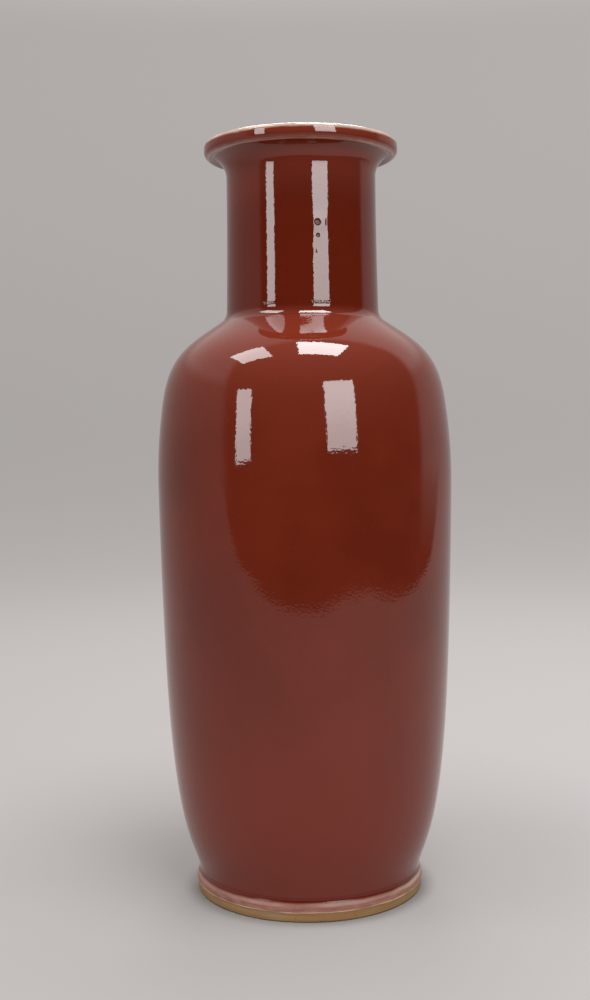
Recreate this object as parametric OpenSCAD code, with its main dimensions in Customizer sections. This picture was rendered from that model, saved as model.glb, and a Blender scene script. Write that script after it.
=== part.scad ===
// Rouleau vase: a tall stoneware vase with a nearly straight body, a round shoulder,
// a straight neck and a flaring rolled lip, under a copper-red glaze that thins to pale at the lip.
// It is thrown in sections that are luted together with slip, then turned, glazed and fired.
// Millimetres, Z up. The origin is the centre of the foot, on the surface the vase stands on.

/* [Whole vase] */
// Height of the vase, from the standing face to the top of the lip
vase_h = 450; // [430:1:480]

/* [Foot] */
// Widest radius of the foot, over its glaze
foot_r = 69.4; // [60:0.1:76]
// Height of the foot's widest line
foot_swell_h = 4; // [2:0.1:7]
// Height of the waist, the groove where the foot meets the body
foot_h = 13.5; // [11:0.1:20]
// How far the waist lies behind the foot's widest line
waist_depth = 1.7; // [0.6:0.1:3]
// Fillet in the groove of the waist
waist_fillet_r = 6; // [3:0.5:7]
// Width of the clay ring at the standing face, edges included
foot_ring_w = 8.5; // [6:0.1:14]
// Lean of the ring's inner wall from upright, in degrees
foot_inner_lean = 8; // [0:1:20]
// Rounding of the outer standing edge
foot_edge_r = 0.5; // [0.3:0.1:1.5]
// Bevel of the inner standing edge
foot_bevel = 1.5; // [0.5:0.1:2.5]

/* [Body] */
// Lean of the wall just above the waist, in degrees from upright
waist_lean = 9.7; // [4:0.1:16]
// Reach of the wall's curve along that lean
waist_reach = 13; // [6:0.5:25]
// Height of the belly line above the waist
belly_rise = 106.5; // [90:0.5:125]
// Radius of the body at the belly line
belly_r = 85.4; // [80:0.1:88]
// Lean of the wall at the belly line, in degrees from upright
belly_lean = 3; // [1:0.1:5]
// Reach of the wall's curve below the belly line
belly_reach_down = 87; // [60:0.5:95]
// Reach of the wall's curve above the belly line
belly_reach_up = 49; // [30:0.5:70]
// Radius of the body at the girth, its widest line
girth_r = 88.9; // [86:0.1:96]
// Reach of the wall's curve below the girth
girth_reach_down = 3; // [2:0.5:40]

/* [Shoulder] */
// Height of the neck's root above the girth
shoulder_rise = 102; // [92:0.5:115]
// Radius of the long arc on which the wall leaves the girth
shoulder_arc_r = 320; // [250:1:450]
// Height of that arc above the girth
shoulder_arc_rise = 48; // [36:0.5:54]
// Reach of the shoulder's curve from the end of that arc
shoulder_turn_reach = 29; // [20:0.5:36]
// Reach of the shoulder's curve out from the neck
shoulder_reach = 23; // [14:0.5:30]
// Pitch of the shoulder where it meets the neck, in degrees from level
shoulder_pitch = 34; // [28:0.5:42]
// Fillet where the shoulder turns up into the neck
root_fillet_r = 8.4; // [5:0.1:12]

/* [Neck and lip] */
// Height of the neck from its root to the flare under the lip
neck_h = 79; // [60:0.5:110]
// How much the neck narrows from its root to the flare
neck_taper = 1.05; // [0.4:0.05:3]
// Radius of the neck below the flare
neck_r = 44.85; // [38:0.05:50]
// Radius of the flare under the lip
flare_r = 14; // [10:0.1:17]
// Turn of the flare from upright to the groove under the lip, in degrees
flare_sweep = 58; // [52:1:66]
// Radius of the groove between the flare and the rolled lip
lip_groove_r = 0.8; // [0.5:0.1:1.2]
// How far the rolled lip stands out from the neck
lip_reach = 13.15; // [12:0.05:14.5]
// Height of the rolled lip
lip_t = 8.6; // [7.5:0.1:11]
// Rounding of the lip's lower edge, where it rolls under
lip_edge_r = 3.8; // [3.2:0.1:4.4]
// Rounding of the lip's upper edge
lip_crown_r = 2.2; // [1:0.1:3]

/* [Walls] */
// Wall of the neck, glaze included
neck_wall = 6.25; // [5:0.05:9]
// Wall of the body and shoulder, glaze included
body_wall = 7; // [5.5:0.1:9]
// Wall just above the waist, glaze included
heel_wall = 11; // [9:0.1:14]
// Thickness of the floor, inner glaze included
floor_t = 9; // [7:0.1:14]
// Reach of the curve from the floor up into the wall
heel_reach = 18; // [10:0.5:28]
// Rounding where the neck opens into the body
throat_r = 9; // [5:0.1:12]

/* [Luted joints] */
// Thickness of the slip in a joint
slip_t = 0.8; // [0.5:0.1:1.5]
// Rise of a joint's bevel from the outside to the inside of the wall
lute_rise = 2.5; // [0:0.1:4]
// Depth of the foot's joint below the waist
foot_joint_drop = 1.5; // [1:0.1:2.5]
// Height of the body's joint above the waist
body_joint_rise = 150; // [120:1:190]
// Height of the neck's joint above the neck's root
neck_joint_rise = 2; // [1:0.5:15]

/* [Glaze] */
// Thickness of every glaze coat
glaze_t = 0.6; // [0.3:0.05:0.8]
// How far the red glaze runs down past the waist
red_run_h = 2.1; // [0.5:0.1:4]
// Height of bare clay below the foot's glaze
bare_foot_h = 5.6; // [3:0.1:8]
// Height of bare clay inside the foot ring
bare_ring_h = 4; // [3:0.1:7]
// Height of the pale band on the outside of the lip
rim_band_h = 2.9; // [2:0.1:3.5]
// Depth of the pale band inside the mouth
rim_inner_h = 4; // [3:0.1:8]

/* [Hidden] */
$fn = 120;

// Steps along the curves, chosen so that a chord stays within a few hundredths of its curve
arc_steps = 8;
curve_steps = 16;
// Two points closer than this are one point
same_point = 0.001;

// Heights above the standing face: up from the foot to the belly line, and down from the lip to the girth
waist_z = foot_h;
belly_z = waist_z + belly_rise;
top_z = vase_h;

// The lip's roll, and the groove that touches both the roll and the flare
lip_r = neck_r + lip_reach;
roll_centre = [lip_r - lip_edge_r, top_z - lip_t + lip_edge_r];
groove_centre_r = neck_r + flare_r - (flare_r - lip_groove_r) * cos(flare_sweep);
groove_turn = acos((roll_centre[0] - groove_centre_r) / (lip_groove_r + lip_edge_r));
groove_centre = [groove_centre_r, roll_centre[1] - (lip_groove_r + lip_edge_r) * sin(groove_turn)];
flare_z = groove_centre[1] - (flare_r - lip_groove_r) * sin(flare_sweep);
root_z = flare_z - neck_h;
girth_z = root_z - shoulder_rise;

// Joint heights at the outer wall
foot_joint_z = waist_z - foot_joint_drop;
body_joint_z = waist_z + body_joint_rise;
neck_joint_z = root_z + neck_joint_rise;

// Edges of the red glaze
red_low_z = waist_z - red_run_h;
red_high_z = top_z - rim_band_h;

floor_z = foot_joint_z + floor_t;
waist_r = foot_r - waist_depth;
root_r = neck_r + neck_taper;
bore_r = neck_r - neck_wall;
mouth_flare_r = lip_r - lip_crown_r - bore_r;

// Curves

// A unit step that leans the given degrees outward from upright
function leaning(degrees) = [sin(degrees), cos(degrees)];

// Points along a circle's arc
function arc(centre, r, from, to) = [
    for (i = [0 : arc_steps])
        let (angle = from + (to - from) * i / arc_steps)
        centre + r * [cos(angle), sin(angle)]
];

// Points along a cubic curve that leaves a towards a_handle and reaches b from b_handle
function curve(a, a_handle, b_handle, b) = [
    for (i = [0 : curve_steps])
        let (t = i / curve_steps, s = 1 - t)
        s * s * s * a + 3 * s * s * t * a_handle + 3 * s * t * t * b_handle + t * t * t * b
];

// The radius of an arc that starts upright and moves aside over a given rise
function upright_arc_r(rise, aside) = (rise * rise + aside * aside) / (2 * aside);

// Paths

function reversed(path) = [for (i = [len(path) - 1 : -1 : 0]) path[i]];

// A path without points that repeat
function without_repeats(path) = [
    for (i = [0 : len(path) - 1])
        if (i == 0 || norm(path[i] - path[max(i - 1, 0)]) > same_point) path[i]
];

// The unit normal on the right of the step from point i to point i + 1
function step_normal(path, i) =
    let (step = path[i + 1] - path[i])
    [step[1], -step[0]] / norm(step);

// The mitred normal at point i, one unit clear of the steps on both sides
function point_normal(path, i) =
    let (before = step_normal(path, max(i - 1, 0)))
    let (after = step_normal(path, min(i, len(path) - 2)))
    (before + after) / (1 + before * after);

// A path moved to its right by a distance
function moved(path, distance) = [
    for (i = [0 : len(path) - 1]) path[i] + distance * point_normal(path, i)
];

// The point where a climbing path reaches a height
function at_height(path, z) = [
    for (i = [0 : len(path) - 2])
        let (low = path[i], high = path[i + 1])
        if (low[1] <= z && high[1] >= z && high[1] > low[1])
            low + (high - low) * (z - low[1]) / (high[1] - low[1])
][0];

// The stretch of a climbing path above a height
function above(path, z) = without_repeats(
    concat([at_height(path, z)], [for (p = path) if (p[1] > z) p])
);

// The stretch of a climbing path below a height
function below(path, z) = without_repeats(
    concat([for (p = path) if (p[1] < z) p], [at_height(path, z)])
);

function between(path, low_z, high_z) = above(below(path, high_z), low_z);

// The finished surface, glaze included, as half of the vase's section

// The foot's side, upright at its widest line, draws in to a fillet that is upright again at the waist.
// It starts one glaze coat below the standing face, so that the clay behind it reaches that face.
foot_curve_r = upright_arc_r(waist_z - foot_swell_h, waist_depth);
foot_turn = asin((waist_z - foot_swell_h) / foot_curve_r);
foot_side_r = foot_curve_r - waist_fillet_r;
foot_side = arc(
    [foot_r - foot_side_r, foot_swell_h], foot_side_r,
    -asin(min((foot_swell_h + glaze_t) / foot_side_r, 1)), foot_turn
);
waist_fillet = arc(
    [waist_r + waist_fillet_r, waist_z], waist_fillet_r,
    180 + foot_turn, 180 - waist_lean
);

waist_point = waist_fillet[arc_steps];
belly_point = [belly_r, belly_z];
girth_point = [girth_r, girth_z];
lower_wall = curve(
    waist_point, waist_point + waist_reach * leaning(waist_lean),
    belly_point - belly_reach_down * leaning(belly_lean), belly_point
);
upper_wall = curve(
    belly_point, belly_point + belly_reach_up * leaning(belly_lean),
    girth_point - [0, girth_reach_down], girth_point
);

// The wall leaves the girth on a long arc, rounds the shoulder and runs into a fillet at the neck
shoulder_arc_lean = asin(shoulder_arc_rise / shoulder_arc_r);
shoulder_arc = arc([girth_r - shoulder_arc_r, girth_z], shoulder_arc_r, 0, shoulder_arc_lean);
shoulder_turn = shoulder_arc[arc_steps];
root_turn = 270 - shoulder_pitch;
root_fillet = arc([root_r + root_fillet_r, root_z], root_fillet_r, root_turn, 180);
shoulder = curve(
    shoulder_turn, shoulder_turn + shoulder_turn_reach * leaning(-shoulder_arc_lean),
    root_fillet[0] + shoulder_reach * [cos(shoulder_pitch), -sin(shoulder_pitch)], root_fillet[0]
);

// The neck narrows on a long arc that is upright again at the flare
neck_side_r = upright_arc_r(neck_h, neck_taper);
neck_side = arc([neck_r + neck_side_r, flare_z], neck_side_r, 180 + asin(neck_h / neck_side_r), 180);
flare = arc([neck_r + flare_r, flare_z], flare_r, 180, 180 - flare_sweep);
lip_groove = arc(groove_centre, lip_groove_r, 180 - flare_sweep, groove_turn);
lip_edge = arc(roll_centre, lip_edge_r, groove_turn - 180, 0);
lip_crown = arc([lip_r - lip_crown_r, top_z - lip_crown_r], lip_crown_r, 0, 90);
outside = without_repeats(concat(
    foot_side, waist_fillet, lower_wall, upper_wall, shoulder_arc, shoulder, root_fillet,
    neck_side, flare, lip_groove, lip_edge, lip_crown
));

// The inner wall keeps its distance from the outer one and thickens towards the heel
body_outside = without_repeats(concat(lower_wall, upper_wall, shoulder_arc, shoulder));
function heel_share(z) = pow(max(belly_z - z, 0) / belly_rise, 2);
function wall_at(z) = body_wall + (heel_wall - body_wall) * heel_share(z);
body_inside = above([
    for (i = [0 : len(body_outside) - 1])
        body_outside[i] - wall_at(body_outside[i][1]) * point_normal(body_outside, i)
], floor_z + heel_reach);

// The heel turns from the flat floor up into the wall, along the lean of both
wall_foot = body_inside[0];
wall_step = body_inside[1] - wall_foot;
heel_corner = wall_foot - wall_step * heel_reach / wall_step[1];
heel = curve(
    heel_corner - [heel_reach, 0], heel_corner - [heel_reach / 3, 0],
    heel_corner + (wall_foot - heel_corner) / 3, wall_foot
);

// The throat rounds the corner between the shoulder's inner wall and the bore of the neck
shoulder_end = body_inside[len(body_inside) - 1];
throat_end_r = bore_r + throat_r * (1 - sin(shoulder_pitch));
throat_z = shoulder_end[1] + (shoulder_end[0] - throat_end_r) * tan(shoulder_pitch)
    + throat_r * cos(shoulder_pitch);
throat = arc([bore_r + throat_r, throat_z], throat_r, root_turn, 180);
mouth_flare = arc([bore_r + mouth_flare_r, top_z - mouth_flare_r], mouth_flare_r, 180, 90);
inside = without_repeats(concat([[0, floor_z]], heel, body_inside, throat, mouth_flare));

// The clay surface lies one glaze coat below the finished surface, all the way round
finished = without_repeats(concat(outside, reversed(inside)));
clay = moved(finished, -glaze_t);
lip_top = len(outside) - 1;
clay_outside = [for (i = [0 : lip_top]) clay[i]];
clay_inside = reversed([for (i = [lip_top : len(clay) - 1]) clay[i]]);

// The standing ring: its outer edge is rounded, its inner edge bevelled, its inner wall leans
foot_clay = at_height(clay_outside, foot_edge_r);
stand_inner_r = foot_clay[0] - foot_ring_w;
ring_top_z = foot_joint_z - slip_t;
function ring_inner_r(z) = stand_inner_r - z * tan(foot_inner_lean);

// Sections

// A ring of wall between two joints, cut square to the axis or on the joints' bevel
module wall_section(low_z, high_z, low_rise, high_rise) {
    rotate_extrude()
        polygon(concat(
            between(clay_outside, low_z, high_z),
            reversed(between(clay_inside, low_z + low_rise, high_z + high_rise))
        ));
}

// A ring cut from the foot between two heights below the floor
module foot_section(low_z, high_z) {
    rotate_extrude()
        polygon(concat(
            between(clay_outside, low_z, high_z),
            [[ring_inner_r(high_z), high_z], [ring_inner_r(low_z), low_z]]
        ));
}

// A coat of glaze on the outside of the vase between two heights
module outer_coat(low_z, high_z) {
    rotate_extrude()
        polygon(concat(
            between(outside, low_z, high_z),
            reversed(between(clay_outside, low_z, high_z))
        ));
}

// Clay pieces

// Turned foot ring that the vase stands on
module foot_ring() {
    color("tan")
        rotate_extrude()
            polygon(concat(
                [[ring_inner_r(foot_bevel), foot_bevel], [stand_inner_r + foot_bevel, 0]],
                arc([foot_clay[0] - foot_edge_r, foot_edge_r], foot_edge_r, -90, 0),
                between(clay_outside, 2 * foot_edge_r, ring_top_z),
                [[ring_inner_r(ring_top_z), ring_top_z]]
            ));
}

// Lower half of the body, thrown with the floor
module lower_body() {
    color("wheat")
        rotate_extrude()
            polygon(concat(
                [[0, foot_joint_z]],
                between(clay_outside, foot_joint_z, body_joint_z - slip_t),
                reversed(below(clay_inside, body_joint_z - slip_t + lute_rise))
            ));
}

// Upper half of the body with the shoulder
module upper_body() {
    color("wheat")
        wall_section(body_joint_z, neck_joint_z - slip_t, lute_rise, lute_rise);
}

// Neck with the rolled lip
module neck() {
    color("wheat")
        rotate_extrude()
            polygon(concat(
                above(clay_outside, neck_joint_z),
                reversed(above(clay_inside, neck_joint_z + lute_rise))
            ));
}

// Slip in the joints

// Slip between the foot ring and the floor
module foot_slip_joint() {
    color("burlywood")
        foot_section(ring_top_z, foot_joint_z);
}

// Slip between the two halves of the body
module body_slip_joint() {
    color("burlywood")
        wall_section(body_joint_z - slip_t, body_joint_z, lute_rise, lute_rise);
}

// Slip between the shoulder and the neck
module neck_slip_joint() {
    color("burlywood")
        wall_section(neck_joint_z - slip_t, neck_joint_z, lute_rise, lute_rise);
}

// Glaze coats

// Copper-red glaze from below the waist to the lip
module red_glaze() {
    color([0.42, 0.13, 0.09])
        outer_coat(red_low_z, red_high_z);
}

// Pale glaze over the edge of the lip, where the red has run thin
module rim_glaze() {
    color([0.85, 0.74, 0.68])
        rotate_extrude()
            polygon(concat(
                above(outside, red_high_z),
                reversed(above(inside, top_z - rim_inner_h)),
                above(clay_inside, top_z - rim_inner_h),
                reversed(above(clay_outside, red_high_z))
            ));
}

// Pale pink glaze on the foot, below the red
module foot_glaze() {
    color([0.56, 0.36, 0.31])
        outer_coat(bare_foot_h, red_low_z);
}

// Cream glaze that lines the vase
module inner_glaze() {
    color("ivory")
        rotate_extrude()
            polygon(concat(
                below(inside, top_z - rim_inner_h),
                reversed(below(clay_inside, top_z - rim_inner_h))
            ));
}

// Cream glaze under the floor and down the inside of the foot ring
module base_glaze() {
    under_z = foot_joint_z - glaze_t;
    color("ivory")
        rotate_extrude()
            polygon([
                [0, foot_joint_z],
                [0, under_z],
                [ring_inner_r(under_z) - glaze_t, under_z],
                [ring_inner_r(bare_ring_h) - glaze_t, bare_ring_h],
                [ring_inner_r(bare_ring_h), bare_ring_h],
                [ring_inner_r(foot_joint_z), foot_joint_z]
            ]);
}

foot_ring();
lower_body();
upper_body();
neck();
foot_slip_joint();
body_slip_joint();
neck_slip_joint();
red_glaze();
rim_glaze();
foot_glaze();
inner_glaze();
base_glaze();
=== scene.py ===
"""Looks of a copper-red rouleau vase, in metres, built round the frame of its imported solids.

The glaze coats and the foot ring are turned again from the sections of their solids, so that the
surface can ripple, run and pit as a fired one does. The clay behind them stays as it is packed.
"""

import logging
import math
from dataclasses import astuple, dataclass, fields
from enum import Enum

import bmesh
import bpy
from mathutils import Matrix, Vector


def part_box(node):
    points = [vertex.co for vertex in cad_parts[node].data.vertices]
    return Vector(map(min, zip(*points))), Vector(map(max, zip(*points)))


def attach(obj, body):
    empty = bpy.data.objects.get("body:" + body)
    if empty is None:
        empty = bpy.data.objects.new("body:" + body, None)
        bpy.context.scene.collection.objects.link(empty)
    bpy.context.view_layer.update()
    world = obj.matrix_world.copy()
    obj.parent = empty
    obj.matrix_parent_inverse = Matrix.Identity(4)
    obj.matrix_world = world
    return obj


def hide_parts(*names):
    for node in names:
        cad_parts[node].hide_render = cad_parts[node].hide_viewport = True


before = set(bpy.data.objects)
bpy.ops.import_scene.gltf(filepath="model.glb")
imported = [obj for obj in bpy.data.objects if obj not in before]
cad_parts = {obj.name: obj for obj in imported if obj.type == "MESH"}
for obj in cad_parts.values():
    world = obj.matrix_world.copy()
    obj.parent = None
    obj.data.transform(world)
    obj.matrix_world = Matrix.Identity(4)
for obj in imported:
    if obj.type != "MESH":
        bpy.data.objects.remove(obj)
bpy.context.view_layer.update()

LOG = logging.getLogger("rouleau_vase")
MM = 0.001
# Two points closer than this are one point
TOUCH = 0.001 * MM
# A turn sharper than this shows as an edge
SHARP = math.radians(45)
# The refraction of a fired glaze
GLAZE_IOR = 1.5
# The middle of a noise, and what brings its usual reach of a quarter to 1
NOISE_MIDDLE = 0.5
NOISE_GAIN = 4.0

Colour = tuple[float, float, float]
# Two values between which something begins and ends
Span = tuple[float, float]
Socket = bpy.types.NodeSocket
Fill = Socket | bpy.types.Material | float | int | bool | tuple | Vector


class Slot(Enum):
    """The record's material slots that the turned pieces stand for; here each only chooses a piece's finish.
    """

    STONEWARE = "stoneware"
    RED = "red_glaze"
    PALE = "pale_glaze"
    PINK = "pink_glaze"
    CREAM = "cream_glaze"


def srgb(red: int, green: int, blue: int) -> Colour:
    """Turns a colour as a screen shows it into the linear one that a shader takes.

    Args:
        red: Red from 0 to 255.
        green: Green from 0 to 255.
        blue: Blue from 0 to 255.

    Returns:
        The linear colour, each part from 0 to 1.
    """
    parts = [value / 255 for value in (red, green, blue)]
    return tuple(p / 12.92 if p <= 0.04045 else ((p + 0.055) / 1.055) ** 2.4 for p in parts)


def smooth(value: float) -> float:
    """Eases a share from 0 to 1 at both of its ends."""
    share = min(max(value, 0.0), 1.0)
    return share * share * (3 - 2 * share)


def round_axis(radius: float, azimuth: float, height: float) -> Vector:
    """Gives a point by its radius, its degrees from the front towards +X, and its height."""
    turn = math.radians(azimuth)
    return Vector((radius * math.sin(turn), -radius * math.cos(turn), height))


def past(line: float, span: Span) -> Span:
    """Moves a span to where a line lies."""
    return line + span[0], line + span[1]


def in_scene(name: str, data: bpy.types.ID) -> bpy.types.Object:
    """Puts a new object in the scene.

    Args:
        name: The object's name.
        data: Its mesh, lamp or camera.

    Returns:
        The object.
    """
    obj = bpy.data.objects.new(name, data)
    bpy.context.scene.collection.objects.link(obj)
    return obj


class NodeSketch:
    """Writes a node tree: each call adds a node, sets its options and fills its sockets."""

    def __init__(self, tree: bpy.types.NodeTree) -> None:
        """Starts on the tree to write."""
        self.tree = tree

    @classmethod
    def of(cls, owner: bpy.types.Material | bpy.types.AreaLight | bpy.types.World) -> "NodeSketch":
        """Starts on the emptied tree of a material, a lamp or the world.

        Args:
            owner: What the tree belongs to.

        Returns:
            The writer.
        """
        owner.use_nodes = True
        owner.node_tree.nodes.clear()
        return cls(owner.node_tree)

    def add(self, kind: str, fill: dict[str | int, Fill] | None = None, **options: object) -> bpy.types.Node:
        """Adds one node.

        Args:
            kind: The node's type name.
            fill: A link or a value for each socket, by the socket's name or number.
            **options: The node's own settings.

        Returns:
            The node.
        """
        node = self.tree.nodes.new(kind)
        for name, value in options.items():
            setattr(node, name, value)
        self.fill_sockets(node, fill or {})
        return node

    def fill_sockets(self, node: bpy.types.Node, fill: dict[str | int, Fill]) -> None:
        """Links or sets a node's sockets.

        Args:
            node: The node.
            fill: A link or a value for each socket, by the socket's name or number.
        """
        for key, value in fill.items():
            if isinstance(value, Socket):
                self.tree.links.new(value, node.inputs[key])
            else:
                node.inputs[key].default_value = value

    def math(self, operation: str, *values: Fill) -> Socket:
        """Adds a sum on numbers and gives its result."""
        return self.add("ShaderNodeMath", dict(enumerate(values)), operation=operation).outputs[0]

    def vector(self, operation: str, *values: Fill, output: int = 0) -> Socket:
        """Adds a sum on vectors and gives its result, or its number where output is 1."""
        return self.add("ShaderNodeVectorMath", dict(enumerate(values)), operation=operation).outputs[output]

    def scaled(self, vector: Fill, factor: Fill) -> Socket:
        """Multiplies a vector by a number."""
        return self.add("ShaderNodeVectorMath", {0: vector, "Scale": factor}, operation="SCALE").outputs[0]

    def parts(self, vector: Fill) -> tuple[Socket, ...]:
        """Splits a vector into its X, Y and Z."""
        return tuple(self.add("ShaderNodeSeparateXYZ", {0: vector}).outputs)

    def joined(self, x: Fill, y: Fill, z: Fill) -> Socket:
        """Makes a vector of three numbers."""
        return self.add("ShaderNodeCombineXYZ", {0: x, 1: y, 2: z}).outputs[0]

    def place(self) -> Socket:
        """Gives the shaded point in its object's own frame."""
        return self.add("ShaderNodeTexCoord").outputs["Object"]

    def flat(self, place: Fill) -> Socket:
        """Gives the point on the floor below a point."""
        return self.vector("MULTIPLY", place, (1.0, 1.0, 0.0))

    def radius(self, place: Fill) -> Socket:
        """Gives a point's distance from the axis."""
        return self.vector("LENGTH", self.flat(place), output=1)

    def outward(self, place: Fill) -> Socket:
        """Gives the direction from the axis to a point."""
        return self.vector("NORMALIZE", self.flat(place))

    def rise(self, value: Fill, low: Fill, high: Fill, start: Fill = 0.0, end: Fill = 1.0) -> Socket:
        """Eases from start to end while a value goes from low to high.

        Args:
            value: The value that moves.
            low: Where the rise begins.
            high: Where it ends.
            start: The result at and below low.
            end: The result at and above high.

        Returns:
            The eased result.
        """
        fill = {"Value": value, "From Min": low, "From Max": high, "To Min": start, "To Max": end}
        return self.add("ShaderNodeMapRange", fill, interpolation_type="SMOOTHSTEP").outputs[0]

    def noise(self, vector: Fill, size: Fill, detail: float = 2.0, seed: Fill = 0.0) -> Socket:
        """Adds a cloudy pattern.

        Args:
            vector: The place that it is read at.
            size: The size of its clouds, in metres.
            detail: How many finer layers it has.
            seed: What sets it apart from other patterns.

        Returns:
            The pattern, about 0 to 1.
        """
        scale = self.math("DIVIDE", 1.0, size)
        fill = {"Vector": vector, "W": seed, "Scale": scale, "Detail": detail}
        return self.add("ShaderNodeTexNoise", fill, noise_dimensions="4D").outputs[0]

    def wander(
        self, vector: Fill, size: Fill, reach: Fill, detail: float = 2.0, seed: Fill = 0.0
    ) -> Socket:
        """Adds a cloudy wander to both sides of 0.

        Args:
            vector: The place that it is read at.
            size: The size of its clouds, in metres.
            reach: How far it goes each way.
            detail: How many finer layers it has.
            seed: What sets it apart from other patterns.

        Returns:
            The wander.
        """
        cloud = self.math("SUBTRACT", self.noise(vector, size, detail, seed), NOISE_MIDDLE)
        return self.math("MULTIPLY", cloud, self.math("MULTIPLY", reach, NOISE_GAIN))

    def bump(self, height: Fill, depth: float, **under: Fill) -> Socket:
        """Raises the surface up to this depth, over the Normal of another bump where one is given."""
        return self.add("ShaderNodeBump", {"Height": height, "Distance": depth, **under}).outputs[0]

    def mix(self, factor: Fill, low: Fill, high: Fill) -> Socket:
        """Blends two colours.

        Args:
            factor: The share of the second colour.
            low: The colour at 0.
            high: The colour at 1.

        Returns:
            The blended colour.
        """
        ends = {6: low, 7: high}
        ends = {key: (*value, 1.0) if isinstance(value, tuple) else value for key, value in ends.items()}
        return self.add("ShaderNodeMix", {0: factor, **ends}, data_type="RGBA").outputs[2]


@dataclass(frozen=True)
class Spacing:
    """How close together a section's points lie: a longest step and a widest turn."""

    step: float = 2.8 * MM
    turn: float = math.radians(6)

    def count(self, length: float, turn: float) -> int:
        """Gives the number of steps on a stretch of this length that bends this far, in radians."""
        return max(1, math.ceil(length / self.step), math.ceil(turn / self.turn))


@dataclass(frozen=True)
class Section:
    """Half of a turned piece's section, as points (radius, height) that run down its outside.

    A section that closes on itself ends with its first point. Any other starts and ends on the axis.
    """

    points: tuple[Vector, ...]
    closed: bool
    # A turn sharper than this is a corner, and one below the second value is none
    corner: float = math.radians(28)
    straight: float = math.radians(0.02)
    # A stretch this many times its neighbour's length is a straight that the curve runs into
    run_in: float = 3.0
    # The steps in which a melted corner is rounded
    melt_steps: int = 6

    @classmethod
    def of_node(cls, node: str) -> "Section":
        """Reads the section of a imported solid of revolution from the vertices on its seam.

        Args:
            node: The solid's node.

        Returns:
            Its section, with no point in the middle of a straight stretch.
        """
        work = bmesh.new()
        work.from_mesh(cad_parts[node].data)
        bmesh.ops.remove_doubles(work, verts=work.verts, dist=TOUCH)
        seam = [v for v in work.verts if abs(v.co.y) < TOUCH and v.co.x > TOUCH]
        on_seam = set(seam)
        links = {v: [o for e in v.link_edges if (o := e.other_vert(v)) in on_seam] for v in seam}
        ends = [v for v in seam if len(links[v]) == 1]
        walk = [min(ends or seam, key=lambda v: (v.co.z, v.co.x))]
        while onward := [v for v in links[walk[-1]] if v not in walk[-2:]]:
            walk.append(onward[0])
            if onward[0] is walk[0]:
                break
        points = [Vector((v.co.x, v.co.z)) for v in walk]
        work.free()
        if ends:
            points = [Vector((0.0, points[0].y)), *points, Vector((0.0, points[-1].y))]
        area = sum(a.x * b.y - b.x * a.y for a, b in zip(points, points[1:] + points[:1]))
        if area > 0:
            points.reverse()
        return cls(tuple(points), not ends).without_straight_points()

    def neighbours(self, index: int) -> tuple[Vector, Vector] | None:
        """Gives the points on both sides of a point.

        Args:
            index: The point's number.

        Returns:
            The points before and after it, or none at an open end.
        """
        last = len(self.points) - 1
        if 0 < index < last:
            return self.points[index - 1], self.points[index + 1]
        return (self.points[last - 1], self.points[1]) if self.closed else None

    def bend(self, index: int) -> float:
        """Gives how sharply the section turns at a point.

        Args:
            index: The point's number.

        Returns:
            The turn in radians, half a circle at an open end.
        """
        around = self.neighbours(index)
        if around is None:
            return math.pi
        here = self.points[index]
        return (here - around[0]).angle(around[1] - here)

    def without_straight_points(self) -> "Section":
        """Leaves out the points at which the section runs straight on.

        Returns:
            The section without them.
        """
        kept = [p for i, p in enumerate(self.points) if self.bend(i) > self.straight]
        if self.closed and kept[0] != kept[-1]:
            kept.append(kept[0])
        return Section(tuple(kept), self.closed)

    def eased(self, radius: float, below: float) -> "Section":
        """Rounds the corners below a height, as melting does.

        Args:
            radius: How far from the corner the rounding begins.
            below: The height under which corners are rounded.

        Returns:
            The rounded section.
        """
        eased: list[Vector] = []
        for index, here in enumerate(self.points):
            around = self.neighbours(index)
            if around is None or self.bend(index) < self.corner or here.y > below:
                eased.append(here)
                continue
            before, after = (here + (p - here).normalized() * radius for p in around)
            for step in range(self.melt_steps + 1):
                share = step / self.melt_steps
                eased.append(before.lerp(here, share).lerp(here.lerp(after, share), share))
        if self.closed:
            eased = [*eased, eased[0]] if eased[0] != eased[-1] else eased
        return Section(tuple(eased), self.closed)

    def heading(self, index: int) -> Vector | None:
        """Gives the direction of the smooth curve at a point.

        Args:
            index: The point's number.

        Returns:
            The direction, or none at a corner.
        """
        if self.bend(index) > self.corner:
            return None
        before, after = self.neighbours(index)
        into, onward = self.points[index] - before, after - self.points[index]
        longer = max(into, onward, key=lambda span: span.length)
        if longer.length > self.run_in * min(into.length, onward.length):
            return longer.normalized()
        share = onward.length / (into.length + onward.length)
        return into.normalized() * share + onward.normalized() * (1 - share)

    def resampled(self, spacing: Spacing) -> "Section":
        """Runs a smooth curve through the points between corners and divides it.

        Args:
            spacing: How close together the new points lie.

        Returns:
            The section with its curves divided.
        """
        made = [self.points[0]]
        for index, (start, end) in enumerate(zip(self.points, self.points[1:])):
            span = end - start
            chord = span / span.length
            # At a corner the curve takes the direction in which it bends least
            leave, arrive = self.heading(index), self.heading(index + 1)
            leave = leave or (1.5 * chord - 0.5 * arrive if arrive else chord)
            arrive = arrive or 1.5 * chord - 0.5 * leave
            count = spacing.count(span.length, leave.angle(arrive))
            for step in range(1, count + 1):
                t = step / count
                made.append(
                    start * (2 * t**3 - 3 * t**2 + 1) + leave * span.length * (t**3 - 2 * t**2 + t)
                    + end * (3 * t**2 - 2 * t**3) + arrive * span.length * (t**3 - t**2)
                )
        return Section(tuple(made), self.closed)

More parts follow.
